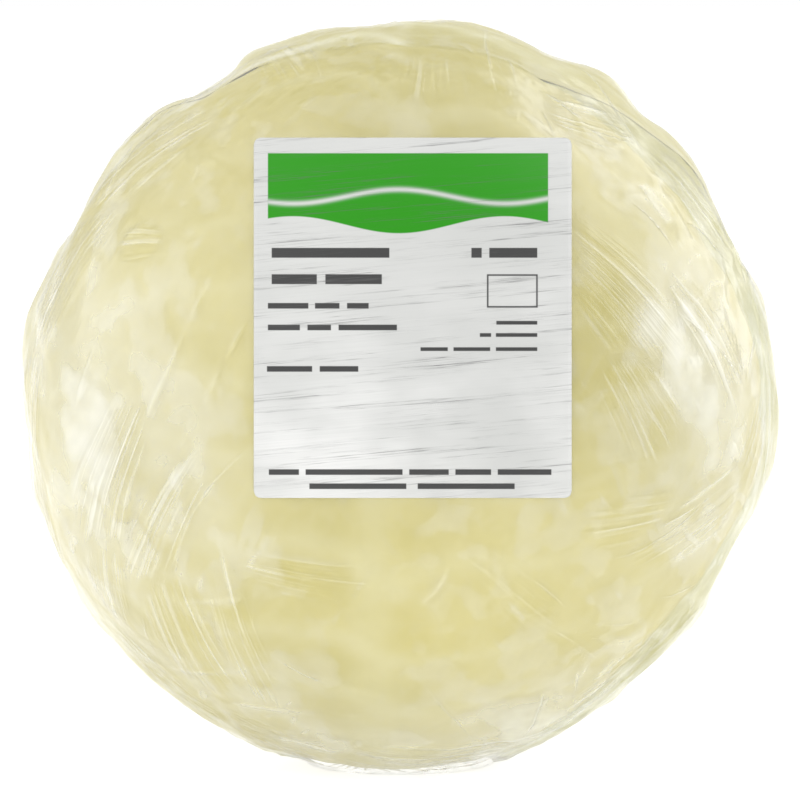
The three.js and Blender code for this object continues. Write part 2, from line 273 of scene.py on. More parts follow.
# Bundles of fine pleats: middle (turn, climb), which way they run, half length and half
# breadth in mm, and strength
PLEATS = (
    ((-77, -4), 84, 30, 9, 1.0),
    ((-70, 20), 62, 24, 10, 1.0),
    ((-62, 40), 54, 18, 9, 1.0),
    ((-48, 27), 4, 6, 4, 1.0),
    ((-50, -10), 58, 20, 9, 0.9),
    ((-40, -16), 52, 18, 7, 0.8),
    ((-56, -24), 62, 14, 7, 0.8),
    ((-42, -34), 88, 17, 9, 0.8),
    ((-30, -33), 90, 22, 6, 0.6),
    ((-60, -46), 118, 16, 7, 0.7),
    ((-36, -60), 140, 16, 8, 0.8),
    ((20, -64), 12, 24, 8, 1.0),
    ((-8, -68), 160, 18, 7, 0.7),
    ((35, 20), 128, 20, 11, 0.7),
    ((38, 3), 122, 12, 8, 0.9),
    ((55, 12), 124, 16, 7, 0.8),
    ((53, -14), 22, 20, 8, 1.0),
    ((40, -14), 6, 16, 6, 0.7),
    ((66, -6), 55, 12, 8, 0.8),
    ((79, 0), 96, 26, 7, 0.8),
    ((52, -42), 60, 13, 9, 1.0),
    ((68, -40), 48, 16, 7, 0.9),
    ((52, 50), 150, 10, 8, 0.9),
    ((68, 34), 110, 13, 8, 0.9),
    ((-50, 66), 150, 12, 6, 0.6),
    ((10, 62), 80, 10, 9, 0.5),
    ((20, -26), 140, 14, 8, 0.22),
    ((-14, -22), 172, 16, 5, 0.5),
    ((110, 30), 70, 26, 12, 0.9),
    ((140, 5), 110, 28, 12, 0.9),
    ((178, 20), 85, 28, 12, 0.8),
    ((-140, 25), 60, 26, 12, 0.9),
    ((-112, -10), 95, 26, 12, 0.9),
    ((-160, -35), 120, 22, 12, 0.9),
    ((160, -40), 60, 22, 12, 0.9),
    ((110, -35), 45, 20, 11, 0.9),
)


# ---------------------------------------------------------------- directions and relief


def direction(turn, climb):
    """Unit vectors that point out at turns and climbs."""
    turn, climb = np.broadcast_arrays(np.radians(turn), np.radians(climb))
    level = np.cos(climb)
    return np.stack([np.sin(turn) * level, -np.cos(turn) * level, np.sin(climb)], axis=-1)


def smoothstep(value, low, high):
    share = np.clip((value - low) / (high - low), 0, 1)
    return share * share * (3 - 2 * share)


def bell(value, width):
    return np.exp(-((value / width) ** 2))


def wrap_radius(way):
    """How far the outside of the film is from the middle of the head."""
    radius = np.full(way.shape[:-1], WRAP_RADIUS)
    for turn, climb, spread, rise in LOBES + FINE_LOBES:
        apart = (2 - 2 * way @ direction(turn, climb)) / math.radians(spread) ** 2
        radius += rise * MM * np.exp(-apart)
    return radius


def swell(way, size, seed, waves=40):
    """Smooth noise over the head, about -2 to 2, with swellings of this size in metres."""
    draw = np.random.default_rng(seed)
    heading = draw.normal(size=(waves, 3))
    heading /= np.linalg.norm(heading, axis=1, keepdims=True)
    pitch = 2 * math.pi * WRAP_RADIUS / size * draw.uniform(0.6, 1.5, waves)
    phase = draw.uniform(0, 2 * math.pi, waves)
    total = np.zeros(way.shape[:-1])
    for toward, rate, start in zip(heading, pitch, phase):
        total += np.sin(rate * (way @ toward) + start)
    return total * math.sqrt(2 / waves)


def flattened(way, radius, depth):
    """Keeps radii above a level plane this far below the middle of the head."""
    down = np.maximum(-way[..., 2], 1e-6)
    plane = depth / down
    in_flat = -way[..., 2] >= math.cos(FLAT_ANGLE) - 1e-9
    return np.where(in_flat, plane, np.where(way[..., 2] < 0, np.minimum(radius, plane), radius))


# ---------------------------------------------------------------- leaves


def leaf_half_width(leaf, along, side):
    """A leaf's half width at shares of its length, on one side."""
    half_width, ripple = leaf.half_width, leaf.ripple
    widening = smoothstep(along, 0, LEAF_SHOULDER)
    full = LEAF_BASE_HALF_WIDTH + (half_width - LEAF_BASE_HALF_WIDTH) * widening
    past = np.clip((along - LEAF_ROUNDING) / (1 - LEAF_ROUNDING), 0, 1)
    rounding = LEAF_TIP_SHARE + (1 - LEAF_TIP_SHARE) * np.sqrt(1 - past**2)
    wave = np.sin(ripple + side * 1.3 + along * 17) + np.sin(ripple * 2 + along * 31)
    # Waves crowd together towards the sides of the head, so they're lower there
    crowding = np.clip(np.cos(np.radians(full * rounding)) / 0.75, 0, 1) ** 1.5
    return full * rounding * (1 + LEAF_RIPPLE * widening * wave * crowding)


def leaf_direction(leaf, along, across):
    """Unit vectors to the points of a leaf at shares of its length and half width."""
    from_stem = np.radians(LEAF_START + (leaf.tip - LEAF_START) * along)
    aside = np.radians(across * leaf_half_width(leaf, along, np.sign(across)))
    ahead = direction(leaf.heading, 0)
    sideways = direction(leaf.heading + 90, 0)
    rising = np.sin(from_stem)[..., None] * ahead - np.cos(from_stem)[..., None] * np.array([0, 0, 1.0])
    return np.cos(aside)[..., None] * rising + np.sin(aside)[..., None] * sideways


def leaf_place(leaf, way):
    """Angle aside from a leaf's midrib and angle up it from the stem, for each direction."""
    aside = np.degrees(np.arcsin(np.clip(way @ direction(leaf.heading + 90, 0), -1, 1)))
    from_stem = np.degrees(np.arctan2(way @ direction(leaf.heading, 0), -way[..., 2]))
    return aside, np.where(from_stem < -90, from_stem + 360, from_stem)


def leaf_row(share):
    """Share of a leaf's length at a share of its rows, crowded at its shoulder and tip."""
    shoulder_rows, rounding_row = 0.3, 0.6
    low = LEAF_SHOULDER * share / shoulder_rows
    onward = (share - shoulder_rows) / (rounding_row - shoulder_rows)
    middle = LEAF_SHOULDER + (LEAF_ROUNDING - LEAF_SHOULDER) * onward
    quarter_turn = math.pi / 2 * np.clip((share - rounding_row) / (1 - rounding_row), 0, 1)
    high = LEAF_ROUNDING + (1 - LEAF_ROUNDING) * np.sin(quarter_turn)
    return np.where(share < shoulder_rows, low, np.where(share < rounding_row, middle, high))


def leaf_cover(leaf, way, margin=0.6, fade=8.0):
    """How fully a leaf covers directions: 1 on it, fading to 0 past its edge."""
    aside, from_stem = leaf_place(leaf, way)
    along = (from_stem - LEAF_START) / (leaf.tip - LEAF_START)
    half_width = leaf_half_width(leaf, np.clip(along, 0, 1), np.sign(aside))
    on_leaf = (along >= 0) & (along <= 1) & (np.abs(aside) <= half_width)
    steps = np.linspace(0, 1, EDGE_STEPS)
    one = np.ones_like(steps)
    edge = np.concatenate([
        leaf_direction(leaf, leaf_row(steps), -one),
        leaf_direction(leaf, leaf_row(steps), one),
        leaf_direction(leaf, 0 * one, 2 * steps - 1),
        leaf_direction(leaf, one, 2 * steps - 1),
    ]).astype(np.float32)
    flat = way.reshape(-1, 3).astype(np.float32)
    nearest = np.empty(len(flat), np.float32)
    for start in range(0, len(flat), 20000):
        nearest[start : start + 20000] = (flat[start : start + 20000] @ edge.T).max(1)
    outside = np.degrees(np.arccos(np.clip(nearest, -1, 1))).reshape(way.shape[:-1])
    return np.where(on_leaf, 1, 1 - smoothstep(outside, margin, margin + fade)), on_leaf


def leaf_ribs(leaf, way):
    """Midrib, side veins and their branches of a leaf: each 0 to 1, with how far each has faded."""
    aside, from_stem = leaf_place(leaf, way)
    mm_aside = aside * MM_PER_DEGREE
    mm_up = (from_stem - LEAF_START) * MM_PER_DEGREE
    drift = 3.5 * swell(way, 60 * MM, int(leaf.ripple * 10))
    fade = np.clip(1 - mm_up / 190, 0, 1)
    midrib = bell(mm_aside + 0.5 * drift * (1 - fade), 2.0 + 7.5 * fade**2)
    spacing = 19.0
    phase = (mm_up - 0.12 * np.abs(mm_aside) + drift + 5 * np.tanh(mm_aside / 5)) / spacing
    off_vein = (phase - np.round(phase)) * spacing
    vein_fade = np.clip(1 - np.abs(mm_aside) / 115, 0, 1) * np.clip(mm_up / 30, 0, 1)
    veins = bell(off_vein, 1.1 + 1.5 * vein_fade)
    branch = (np.abs(mm_aside) * 0.55 + mm_up * 0.9 + 1.6 * drift) / 11
    branches = bell((branch - np.round(branch)) * 11, 0.9) * np.clip(np.abs(mm_aside) / 25, 0, 1)
    return midrib, fade, veins, vein_fade, branches


def leaf_vein(leaf, way):
    """How pale a leaf's ribs make it, 0 to about 1."""
    midrib, fade, veins, vein_fade, branches = leaf_ribs(leaf, way)
    paleness = midrib * (0.25 + 0.75 * fade) + 0.7 * veins * vein_fade + 0.25 * branches
    return leaf.veins * np.clip(paleness, 0, 1)


def leaf_relief(leaf, way):
    """Midrib, side veins and puckers that stand out of a leaf, in metres."""
    midrib, fade, veins, vein_fade, branches = leaf_ribs(leaf, way)
    ribs = 1.5 * fade**2 * midrib + 0.62 * vein_fade * veins + 0.20 * branches
    seed = int(leaf.ripple * 10)
    puckers = 0.38 * swell(way, 24 * MM, seed + 1) + 0.16 * swell(way, 9 * MM, seed + 2)
    return (leaf.veins * ribs + puckers) * MM


LEAF_PITCH = 0.62 * MM
SKIN_CLEARANCE = 0.7 * MM
LEAF_THICKNESS = 0.55 * MM


def layer_radius(way, order):
    """Outer radius of the leaf at this place in LEAVES, or of the head past the last."""
    radius = wrap_radius(way) - SKIN_CLEARANCE
    if order < len(LEAVES):
        relief = leaf_relief(LEAVES[order], way)
    else:
        relief = 0.5 * MM * swell(way, 26 * MM, 90) + 0.3 * MM * swell(way, 10 * MM, 91)
    for leaf in reversed(LEAVES[:order]):
        cover = leaf_cover(leaf, way)[0]
        radius -= LEAF_PITCH * cover
        relief = relief + (leaf_relief(leaf, way) - relief) * cover
    # What would stand out past the skin is pressed flat against it
    most, ease = SKIN_CLEARANCE - 0.3 * MM, 0.25 * MM
    pressed_in = most - ease * np.logaddexp(0, (most - relief) / ease)
    return radius + pressed_in


def outermost_radius(way):
    """Outer radius of whatever lies next to the film in each direction."""
    radius = np.zeros(way.shape[:-1])
    found = np.zeros(way.shape[:-1], bool)
    for order, leaf in enumerate(LEAVES):
        on_leaf = leaf_cover(leaf, way)[1] & ~found
        if on_leaf.any():
            radius[on_leaf] = layer_radius(way[on_leaf], order)
        found |= on_leaf
    if not found.all():
        radius[~found] = layer_radius(way[~found], len(LEAVES))
    return radius


# ---------------------------------------------------------------- meshes


def grid_faces(rows, columns, closed=False, start=0, flip=False):
    """Quads over a grid of points, wound to face out when rows go up and columns right."""
    across = columns if closed else columns - 1
    row, column = np.meshgrid(np.arange(rows - 1), np.arange(across), indexing="ij")
    after = (column + 1) % columns
    quads = np.stack([
        row * columns + column,
        row * columns + after,
        (row + 1) * columns + after,
        (row + 1) * columns + column,
    ], axis=-1).reshape(-1, 4) + start
    return quads[:, ::-1] if flip else quads


def make_piece(name, points, quads, triangles=()):
    """A mesh object from points in metres about the middle of the head."""
    mesh = bpy.data.meshes.new(name)
    placed = np.asarray(points, float) + np.array([0, 0, CENTRE_HEIGHT])
    faces = [tuple(int(i) for i in face) for face in quads]
    faces += [tuple(int(i) for i in face) for face in triangles]
    mesh.from_pydata([tuple(p) for p in placed], [], faces)
    mesh.polygons.foreach_set("use_smooth", [True] * len(mesh.polygons))
    mesh.update()
    piece = bpy.data.objects.new(name, mesh)
    bpy.context.scene.collection.objects.link(piece)
    return piece


def add_attribute(piece, name, values, kind="FLOAT"):
    """Stores a number or a vector on each point of a piece."""
    attribute = piece.data.attributes.new(name, kind, "POINT")
    slot = "value" if kind == "FLOAT" else "vector"
    attribute.data.foreach_set(slot, np.asarray(values, np.float32).ravel())


def sheet_piece(name, outer, inner):
    """A closed sheet between two grids of points."""
    rows, columns = outer.shape[:2]
    count = rows * columns
    index = np.arange(count).reshape(rows, columns)
    edge = np.concatenate([index[0, :-1], index[:-1, -1], index[-1, :0:-1], index[:0:-1, 0]])
    onward = np.roll(edge, -1)
    rim = np.stack([edge, edge + count, onward + count, onward], axis=-1)
    quads = np.concatenate([
        grid_faces(rows, columns),
        grid_faces(rows, columns, start=count, flip=True),
        rim,
    ])
    points = np.concatenate([outer.reshape(-1, 3), inner.reshape(-1, 3)])
    return make_piece(name, points, quads)


def finish_piece(piece, material, slot, *replaced):
    """Gives a piece its material, hangs it on the root body and hides the parts it replaces."""
    piece.data.materials.append(material)
    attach(piece, "root")
    if replaced:
        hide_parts(*replaced)
    return piece


# ---------------------------------------------------------------- shader maths


class Value:
    """A socket in a material's nodes, with the arithmetic that this file uses."""

    def __init__(self, shop, socket):
        self.shop = shop
        self.socket = socket

    def _math(self, operation, *inputs):
        return self.shop.node("ShaderNodeMath", {"operation": operation}, dict(enumerate(inputs)))

    def __add__(self, other):
        return self._math("ADD", self, other)

    __radd__ = __add__

    def __sub__(self, other):
        return self._math("SUBTRACT", self, other)

    def __rsub__(self, other):
        return self._math("SUBTRACT", other, self)

    def __mul__(self, other):
        return self._math("MULTIPLY", self, other)

    __rmul__ = __mul__

    def __truediv__(self, other):
        return self._math("DIVIDE", self, other)

    def __pow__(self, other):
        return self._math("POWER", self, other)

    def most(self, other):
        return self._math("MAXIMUM", self, other)

    def least(self, other):
        return self._math("MINIMUM", self, other)


class NodeShop:
    """Adds nodes to one material."""

    def __init__(self, name):
        self.material = bpy.data.materials.new(name)
        self.material.use_nodes = True
        self.tree = self.material.node_tree
        self.tree.nodes.clear()
        self.output = self.tree.nodes.new("ShaderNodeOutputMaterial")

    def node(self, kind, settings=None, inputs=None, output=0):
        """Adds a node of a kind, with its settings first and then its sockets."""
        made = self.tree.nodes.new(kind)
        for key, setting in (settings or {}).items():
            setattr(made, key, setting)
        for key, content in (inputs or {}).items():
            socket = made.inputs[key]
            if isinstance(content, Value):
                self.tree.links.new(content.socket, socket)
            else:
                socket.default_value = content
        return Value(self, made.outputs[output])

    def step(self, value, low, high, to_low=0.0, to_high=1.0):
        """A smooth step between two values."""
        return self.node(
            "ShaderNodeMapRange",
            {"interpolation_type": "SMOOTHSTEP"},
            {"Value": value, "From Min": low, "From Max": high, "To Min": to_low, "To Max": to_high},
        )

    def bell(self, value, width):
        """1 where a value is 0, fading to 0 a few widths away."""
        share = value * (1 / width)
        return self.node("ShaderNodeMath", {"operation": "POWER"}, {0: math.e, 1: share * share * -1})

    def mix(self, share, first, second):
        """A mix of two colours."""
        return self.node(
            "ShaderNodeMix",
            {"data_type": "RGBA"},
            {"Factor": share, 6: first, 7: second},
            output=2,
        )

    def noise(self, where, scale, detail, roughness):
        inputs = {"Vector": where, "Scale": scale, "Detail": detail, "Roughness": roughness}
        return self.node("ShaderNodeTexNoise", {}, inputs)

    def attribute(self, name, output=2):
        return self.node("ShaderNodeAttribute", {"attribute_name": name}, {}, output=output)

    def split(self, vector):
        """The three parts of a vector."""
        made = self.node("ShaderNodeSeparateXYZ", {}, {0: vector})
        return [Value(self, socket) for socket in made.socket.node.outputs]

    def join(self, x=0.0, y=0.0, z=0.0):
        return self.node("ShaderNodeCombineXYZ", {}, {0: x, 1: y, 2: z})

    def bump(self, height, strength, distance):
        return self.node("ShaderNodeBump", {}, {"Strength": strength, "Distance": distance, "Height": height})

    def finish(self, surface):
        self.tree.links.new(surface.socket, self.output.inputs["Surface"])
        return self.material


def rgba(colour):
    return (*colour, 1.0)


# ---------------------------------------------------------------- materials


def leaf_material(name, looks, green, seed):
    """Waxy pale leaf: yellow-green blotches, paler veins, fine cells, painted shade in its hollows and a soft
    shine.
    """
    shop = NodeShop(name)
    here = shop.node("ShaderNodeTexCoord", {}, {}, output=3)
    shifted = shop.node("ShaderNodeMapping", {}, {"Vector": here, "Location": (seed, 2 * seed, 0)})
    blotch = shop.noise(shifted, 17, 4, 0.6)
    fleck = shop.noise(shifted, 90, 3, 0.6)
    vein = shop.attribute("vein")
    low = shop.attribute("hollow")
    tone = shop.mix(shop.step(blotch, 0.36, 0.66), rgba(looks.leaf_deep_and_shade), rgba(looks.leaf_colour))
    tone = shop.mix(shop.step(fleck, 0.35, 0.75) * 0.22, tone, rgba(looks.leaf_pale))
    tone = shop.mix(shop.step(blotch, 0.4, 0.7, 0.6, 1.0) * green, tone, rgba(looks.leaf_green))
    tone = shop.mix(vein.least(1.2) * 0.7, tone, rgba(looks.leaf_vein))
    # Painted shade: the leaf darkens towards its deep yellow where its surface dips into hollows
    tone = shop.mix(low * 0.4, tone, rgba(looks.leaf_deep_and_shade))
    net = shop.node(
        "ShaderNodeTexVoronoi",
        {"feature": "DISTANCE_TO_EDGE"},
        {"Vector": shifted, "Scale": 150.0, "Randomness": 1.0},
    )
    strands = 1 - shop.step(net, 0.0, 0.09)
    tone = shop.mix(strands * 0.04, tone, rgba(looks.leaf_pale))
    prick = shop.node("ShaderNodeTexVoronoi", {}, {"Vector": shifted, "Scale": 70.0})
    cell_colour = shop.node("ShaderNodeTexVoronoi", {}, {"Vector": shifted, "Scale": 70.0}, output=1)
    chance = shop.split(cell_colour)[0]
    speck = (1 - shop.step(prick, 0.02, 0.06)) * shop.step(chance, 0.965, 0.97)
    tone = shop.mix(speck * 0.55, tone, rgba(looks.leaf_speck))
    relief = strands * 0.1 + fleck * 0.4
    surface = shop.node(
        "ShaderNodeBsdfPrincipled",
        {},
        {
            "Base Color": tone,
            "Roughness": shop.step(fleck, 0.2, 0.8, 0.4, 0.55),
            "Normal": shop.bump(relief, 0.2, 0.0004),
            "IOR": 1.42,
        },
    )
    return shop.finish(surface)


def stem_material(looks):
    """Cut stem: pale pith, a darker fibrous ring and a dry browned rim."""
    shop = NodeShop("cut stem")
    here = shop.node("ShaderNodeTexCoord", {}, {}, output=3)
    x, y, _ = shop.split(here)
    radius = (x * x + y * y) ** 0.5
    grain = shop.noise(here, 260, 4, 0.65)
    blotch = shop.noise(here, 60, 3, 0.5)
    ring = shop.step(radius + (blotch - 0.5) * 0.008, 0.006, 0.014)
    tone = shop.mix(ring, rgba(looks.pith), rgba(looks.stem_ring))
    tone = shop.mix(shop.step(radius, 0.0145, 0.018), tone, rgba(looks.stem_rim))
    tone = shop.mix(shop.step(grain, 0.45, 0.75) * 0.35, tone, rgba(looks.stem_rim))
    surface = shop.node(
        "ShaderNodeBsdfPrincipled",
        {},
        {
            "Base Color": tone,
            "Roughness": shop.step(grain, 0.3, 0.7, 0.55, 0.8),
            "Normal": shop.bump(grain, 0.5, 0.0006),
        },
    )
    return shop.finish(surface)


def film_material(looks):
    """Clear stretch film: hazy where it bridges, white along creases and pleats, glossy."""
    shop = NodeShop("stretch film")
    here = shop.node("ShaderNodeTexCoord", {}, {}, output=3)
    gap = shop.attribute("gap")
    crease_off, crease_width, crease_share = shop.split(shop.attribute("crease", output=1))
    pleat_across, pleat_along, pleat_share = shop.split(shop.attribute("pleat", output=1))
    cloud, left_group, right_group = shop.split(shop.attribute("mottle", output=1))
    ragged = shop.noise(here, 130, 2, 0.6)

    line = shop.bell(crease_off / crease_width.most(0.15) + (ragged - 0.5) * 0.5, 0.3) * crease_share
    twin = shop.bell(crease_off / crease_width.most(0.15) - 1.15, 0.35) * crease_share * 0.5
    strands = shop.noise(shop.join(pleat_across * 0.6, pleat_along * 0.014, 0.0), 1.0, 2, 0.5)
    fine = shop.noise(shop.join(pleat_across * 1.5, pleat_along * 0.02, 7.0), 1.0, 2, 0.5)
    x, y, z = shop.split(here)

    def drawn(lean, pitch, group):
        """Long thin lines of drawn film that lean this way, in scattered groups."""
        c, k = math.cos(math.radians(lean)), math.sin(math.radians(lean))
        across = (x * k - z * c) * pitch
        along = (x * c + z * k) * pitch * 0.04
        field = shop.noise(shop.join(across, y * pitch * 0.5, along), 1.0, 1, 0.5)
        return shop.step(field, 0.58, 0.7) * group

    scratch = drawn(62, 300, left_group) + drawn(126, 300, right_group)
    crumple = shop.attribute("crumple")
    ridge = shop.step(strands, 0.52, 0.66) * pleat_share
    fine_ridge = shop.step(fine, 0.52, 0.66) * pleat_share

    bridged = shop.step(gap + cloud * 0.16 + (ragged - 0.5) * 0.25, 0.1, 0.75)
    sharp = shop.step(gap + cloud * 0.2 + (ragged - 0.5) * 0.08, 0.26, 0.38)
    whitening = line * 0.09 + twin * 0.05 + ridge * 0.16 + fine_ridge * 0.08 - pleat_share * 0.04
    whitening = whitening + scratch * 0.09 + crumple * 0.07
    layers = shop.attribute("layers")
    haze = looks.film_haze + bridged * 0.07 + sharp * 0.035 + layers * (1 + cloud * 0.16) + whitening
    relief = line * 1.1 - twin * 0.5 + strands * pleat_share * 2.5 + fine * pleat_share * 1.1
    relief = relief + ragged * 0.35 + scratch * 0.5
    normal = shop.bump(relief, 0.55, 0.0005)
    veil = shop.node(
        "ShaderNodeBsdfPrincipled",
        {},
        {
            "Base Color": rgba(looks.film_white),
            "Roughness": 0.5,
            "Normal": normal,
        },
    )
    clear = shop.node("ShaderNodeBsdfTransparent", {}, {"Color": rgba(looks.film_tint)})
    body = shop.node("ShaderNodeMixShader", {}, {0: haze.most(0.02).least(0.75), 1: clear, 2: veil})
    shine = shop.node(
        "ShaderNodeBsdfPrincipled",
        {},
        {
            "Base Color": (0.95, 0.95, 0.95, 1.0),
            "Metallic": 1.0,
            "Roughness": looks.film_roughness,
            "Normal": normal,
        },
    )
    facing = shop.node("ShaderNodeLayerWeight", {}, {"Blend": 0.28, "Normal": normal})
    surface = shop.node("ShaderNodeMixShader", {}, {0: facing * 0.62 + 0.035, 1: body, 2: shine})
    return shop.finish(surface)


def label_material(looks):
    """Whitewashed board printed on paper, with a plain header band, plain bars and painted shade that darkens
    it towards the top left.
    """
    shop = NodeShop("printed label")
    where = shop.node("ShaderNodeUVMap", {"uv_map": "label"}, {})
    u, v, _ = shop.split(where)
    x = u * 67.5
    y = v * 76.5
    slope = y - x * 0.09
    streak = shop.noise(shop.join(x * 0.006, slope * 0.5, 0.0), 1.0, 5, 0.6)
    thread = shop.noise(shop.join(x * 0.022, slope * 2.4, 3.0), 1.0, 4, 0.65)
    broken = shop.noise(shop.join(x * 0.035, slope * 0.5, 5.0), 1.0, 3, 0.55)
    crack = shop.bell(streak - 0.5, 0.008) * shop.step(broken, 0.47, 0.6)
    hair = shop.bell(thread - 0.5, 0.012) * shop.step(broken, 0.42, 0.6)
    cloud = shop.noise(shop.join(x * 0.03, y * 0.05, 9.0), 1.0, 3, 0.5)
    ground = shop.mix(shop.step(cloud, 0.3, 0.7), rgba(looks.paper_board_and_shade), rgba(looks.paper))
    ground = shop.mix(shop.step(thread, 0.35, 0.75) * 0.35, ground, rgba(looks.paper_board_and_shade))
    # Painted shade: the paper darkens towards its top and left edges
    ground = shop.mix(shop.step(y - x * 0.15, 8, 44, 0.0, 0.7), ground, rgba(looks.paper_board_and_shade))

    def box(left, right, low, high, soft=0.12):
        """1 inside a rectangle of the label, in millimetres."""
        inside_x = shop.step(x, left - soft, left + soft) * (1 - shop.step(x, right - soft, right + soft))
        inside_y = shop.step(y, low - soft, low + soft) * (1 - shop.step(y, high - soft, high + soft))
        return inside_x * inside_y

    wave = shop.node("ShaderNodeMath", {"operation": "SINE"}, {0: x * 0.14 + 0.4})
    low_edge = wave * 1.8 + 58.0
    band = box(3.0, 62.5, 52.0, 73.2) * shop.step(y - low_edge, -0.15, 0.15)
    second = wave * -1.5 + 61.5
    stripe = shop.bell(y - second - 2.5, 0.55) * band
    colour = shop.mix(band, ground, rgba(looks.header))
    colour = shop.mix(stripe * 0.95, colour, ground)
    bars = 0.0
    for low, tall, words in PRINT_ROWS:
        row = 0.0
        for left, right in words:
            row = row + shop.step(x, left - 0.1, left + 0.1) * (1 - shop.step(x, right - 0.1, right + 0.1))
        in_row = shop.step(y, low - 0.1, low + 0.1) * (1 - shop.step(y, low + tall - 0.1, low + tall + 0.1))
        bars = bars + row * in_row
    frame_line = box(49.5, 60.3, 40.4, 47.5) - box(49.85, 59.95, 40.75, 47.15)
    ink = (bars + frame_line).least(1.0)
    colour = shop.mix(ink * 0.96, colour, rgba(looks.ink))
    colour = shop.mix((crack * 0.6 + hair * 0.28).least(1.0), colour, rgba(looks.grain))
    surface = shop.node(
        "ShaderNodeBsdfPrincipled",
        {},
        {
            "Base Color": colour,
            "Roughness": shop.step(thread, 0.3, 0.7, 0.45, 0.6),
            "Specular IOR Level": 0.15,
            "Normal": shop.bump(thread, 0.08, 0.0002),
        },
    )
    return shop.finish(surface)


def plain_material(name, colour, roughness, glow):
    """The floor's faintly uneven matt paint."""
    shop = NodeShop(name)
    here = shop.node("ShaderNodeTexCoord", {}, {}, output=3)
    mottle = shop.noise(here, 6, 2, 0.5)
    darker = rgba([part * 0.98 for part in colour])
    tone = shop.mix(shop.step(mottle, 0.3, 0.7) * 0.2, rgba(colour), darker)
    inputs = {
        "Base Color": tone,
        "Roughness": roughness,
        "Emission Color": rgba((1, 1, 1)),
        "Emission Strength": glow,
    }
    surface = shop.node("ShaderNodeBsdfPrincipled", {}, inputs)
    return shop.finish(surface)


# ---------------------------------------------------------------- film surface


def arc_places(start, end, bend, way):
    """Distance off and share along an arc between two places, for each direction."""
    first, last = direction(*start), direction(*end)
    middle = first + last
    middle /= np.linalg.norm(middle)
    along_axis = last - first
    length = np.linalg.norm(along_axis)
    along_axis /= length
    across_axis = np.cross(middle, along_axis)
    along = way @ along_axis / length + 0.5
    across = way @ across_axis * WRAP_RADIUS / MM
    bowed = across - bend * (1 - (2 * along - 1) ** 2)
    near = (way @ middle) > 0.2
    return np.where(near, bowed, 99.0), np.where(near, along, -9.0)


def crease_field(way):
    """For each direction: off the nearest crease and its width in mm, its share, and the ridge in mm."""
    off = np.full(way.shape[:-1], 9.0)
    width = np.full(way.shape[:-1], 1.0)
    share = np.zeros(way.shape[:-1])
    ridge = np.zeros(way.shape[:-1])
    second = np.zeros(way.shape[:-1])
    broken = np.clip(0.6 + 0.5 * swell(way, 16 * MM, 60), 0, 1.3)
    for start, end, bend, breadth, height in CREASES:
        across, along = arc_places(start, end, bend, way)
        ends = smoothstep(along, -0.02, 0.22) * (1 - smoothstep(along, 0.72, 1.04))
        strength = height / 0.4 * ends * broken * bell(across, 2.4 + breadth)
        ridge += 0.45 * height * ends * bell(across, 0.7 * breadth) * broken
        better = strength > share
        second = np.maximum(second, np.minimum(strength, share))
        off = np.where(better, across, off)
        width = np.where(better, breadth, width)
        share = np.where(better, strength, share)
    return off, width, np.clip(share - second, 0, 1.5), ridge


def pleat_field(way):
    """For each direction: across and along the strongest bundle of pleats in mm, and its share."""
    across_best = np.zeros(way.shape[:-1])
    along_best = np.zeros(way.shape[:-1])
    share = np.zeros(way.shape[:-1])
    second = np.zeros(way.shape[:-1])
    for number, (middle, slant, half_length, half_breadth, strength) in enumerate(PLEATS):
        centre = direction(*middle)
        right = direction(middle[0] + 90, 0)
        up = np.cross(centre, right)
        up *= np.sign(up[2]) or 1
        lean = math.radians(slant)
        along_axis = math.cos(lean) * right + math.sin(lean) * up
        across_axis = -math.sin(lean) * right + math.cos(lean) * up
        along = way @ along_axis * WRAP_RADIUS / MM
        across = way @ across_axis * WRAP_RADIUS / MM
        fan = across * (1 + 0.18 * along / half_length)
        spot = (along / half_length) ** 2 + (across / half_breadth) ** 2
        held = strength * np.exp(-(spot**2))
        held = np.where(way @ centre > 0.3, held, 0)
        better = held > share
        second = np.maximum(second, np.minimum(held, share))
        across_best = np.where(better, fan + 31 * number, across_best)
        along_best = np.where(better, along + 17 * number, along_best)
        share = np.where(better, held, share)
    return across_best, along_best, smoothstep(share - second, 0.04, 0.5)


def on_label(way):
    """1 under the label, fading to 0 around it."""
    lean = math.radians(LABEL_LEAN)
    up = np.array([0, math.sin(lean), math.cos(lean)])
    out = np.array([0, -math.cos(lean), math.sin(lean)])
    across = np.abs(way[..., 0] * WRAP_RADIUS - LABEL_SHIFT) - LABEL_WIDTH / 2
    height = way @ up * WRAP_RADIUS
    beyond = np.maximum(across, np.maximum(LABEL_LOW - height, height - LABEL_HIGH))
    return (1 - smoothstep(beyond, 0.4 * MM, 5 * MM)) * ((way @ out) > 0)


def drawn_tight(radius, passes, sag):
    """The film's radii when it is drawn tight over what it holds, by easing it down."""
    film = radius.copy()
    for _ in range(passes):
        padded = np.concatenate([film[:1], film, film[-1:]])
        eased = 0.25 * (padded[:-2] + padded[2:] + np.roll(film, 1, 1) + np.roll(film, -1, 1))
        film = np.maximum(radius, eased - sag)
    return film


